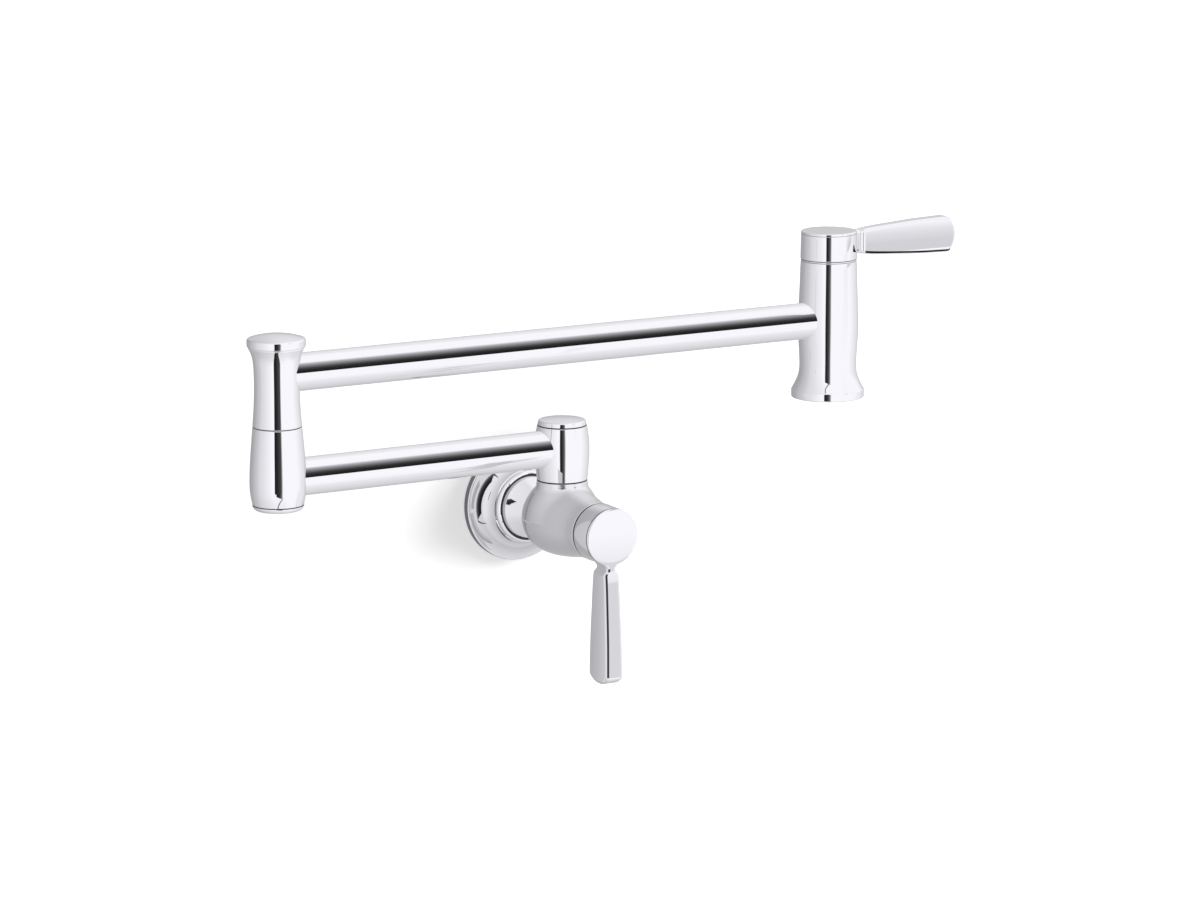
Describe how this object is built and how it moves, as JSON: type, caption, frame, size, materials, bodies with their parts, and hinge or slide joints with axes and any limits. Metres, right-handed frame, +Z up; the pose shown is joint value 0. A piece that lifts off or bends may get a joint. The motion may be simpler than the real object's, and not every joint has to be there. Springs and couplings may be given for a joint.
{
  "type": "pot filler",
  "caption": "Wall mounted pot filler: folding swing arms run from a wall valve with a hanging lever to an outlet post with its own lever and an aerator in its foot.",
  "frame": {"origin": "middle of the wall flange's back face, at the mouth of the inlet socket, on the wall plane", "axes": "+Y into the wall along the inlet, +X to the right facing the wall and along the folded arms towards the outlet, +Z up"},
  "size_m": [0.4775, 0.1204, 0.2497],
  "materials": {
    "chrome_cast": "polished chrome plate on cast brass",
    "chrome_tube": "polished chrome plate on drawn brass tube",
    "chrome_handle": "polished chrome plate",
    "chrome_trim": "polished chrome plate",
    "brass_inner": "machined brass",
    "steel_screw": "plain stainless steel",
    "ceramic": "lapped alumina ceramic",
    "black_rubber": "matt black rubber",
    "grey_foam": "closed cell foam rubber",
    "white_plastic": "white slip plastic",
    "grey_plastic": "moulded acetal"
  },
  "bodies": {
    "valve": {"wall_flange": "chrome_cast", "wall_gasket": "grey_foam", "flange_o_ring": "black_rubber", "valve_body": "chrome_cast", "valve_trim_ring": "chrome_trim", "valve_cartridge_body": "brass_inner", "valve_cartridge_nut": "brass_inner", "valve_cartridge_o_ring": "black_rubber", "valve_fixed_disc": "ceramic", "swivel_post": "brass_inner", "swivel_o_rings": "black_rubber", "swivel_washer": "white_plastic", "swivel_retainer": "steel_screw"},
    "valve_handle": {"valve_handle_hub": "chrome_handle", "valve_handle_face": "chrome_handle", "valve_handle_lever": "chrome_handle", "valve_handle_screw": "steel_screw", "valve_stem": "brass_inner", "valve_moving_disc": "ceramic"},
    "lower_arm": {"lower_arm_hub": "chrome_cast", "lower_arm_cap": "chrome_cast", "lower_tube": "chrome_tube", "elbow_lower": "chrome_cast", "elbow_plug": "chrome_cast", "plug_o_ring": "black_rubber", "elbow_post": "brass_inner", "elbow_o_rings": "black_rubber", "elbow_washer": "white_plastic", "elbow_retainer": "steel_screw"},
    "upper_arm": {"elbow_upper": "chrome_cast", "elbow_cap": "chrome_cast", "upper_tube": "chrome_tube", "outlet_body": "chrome_cast", "outlet_trim_ring": "chrome_trim", "outlet_cartridge_body": "brass_inner", "outlet_cartridge_nut": "brass_inner", "outlet_cartridge_o_ring": "black_rubber", "outlet_fixed_disc": "ceramic", "aerator_housing": "chrome_trim", "aerator_insert": "grey_plastic", "aerator_gasket": "black_rubber"},
    "outlet_handle": {"outlet_handle_hub": "chrome_handle", "outlet_handle_face": "chrome_handle", "outlet_handle_lever": "chrome_handle", "outlet_handle_screw": "steel_screw", "outlet_stem": "brass_inner", "outlet_moving_disc": "ceramic"}
  },
  "joints": [
    {"name": "valve_handle_turn", "type": "hinge", "parent": "valve", "child": "valve_handle", "pos_m": [0, -0.109, 0], "axis": [0, -1, 0], "range_deg": [0, 90]},
    {"name": "lower_arm_swing", "type": "hinge", "parent": "valve", "child": "lower_arm", "pos_m": [0, -0.0576, 0.04], "axis": [0, 0, 1], "range_deg": [0, 180]},
    {"name": "upper_arm_swing", "type": "hinge", "parent": "lower_arm", "child": "upper_arm", "pos_m": [-0.1864, -0.0576, 0.09], "axis": [0, 0, 1], "range_deg": [-180, 180]},
    {"name": "outlet_handle_turn", "type": "hinge", "parent": "upper_arm", "child": "outlet_handle", "pos_m": [0.1854, -0.0576, 0.15], "axis": [0, 0, 1], "range_deg": [-90, 0]}
  ]
}
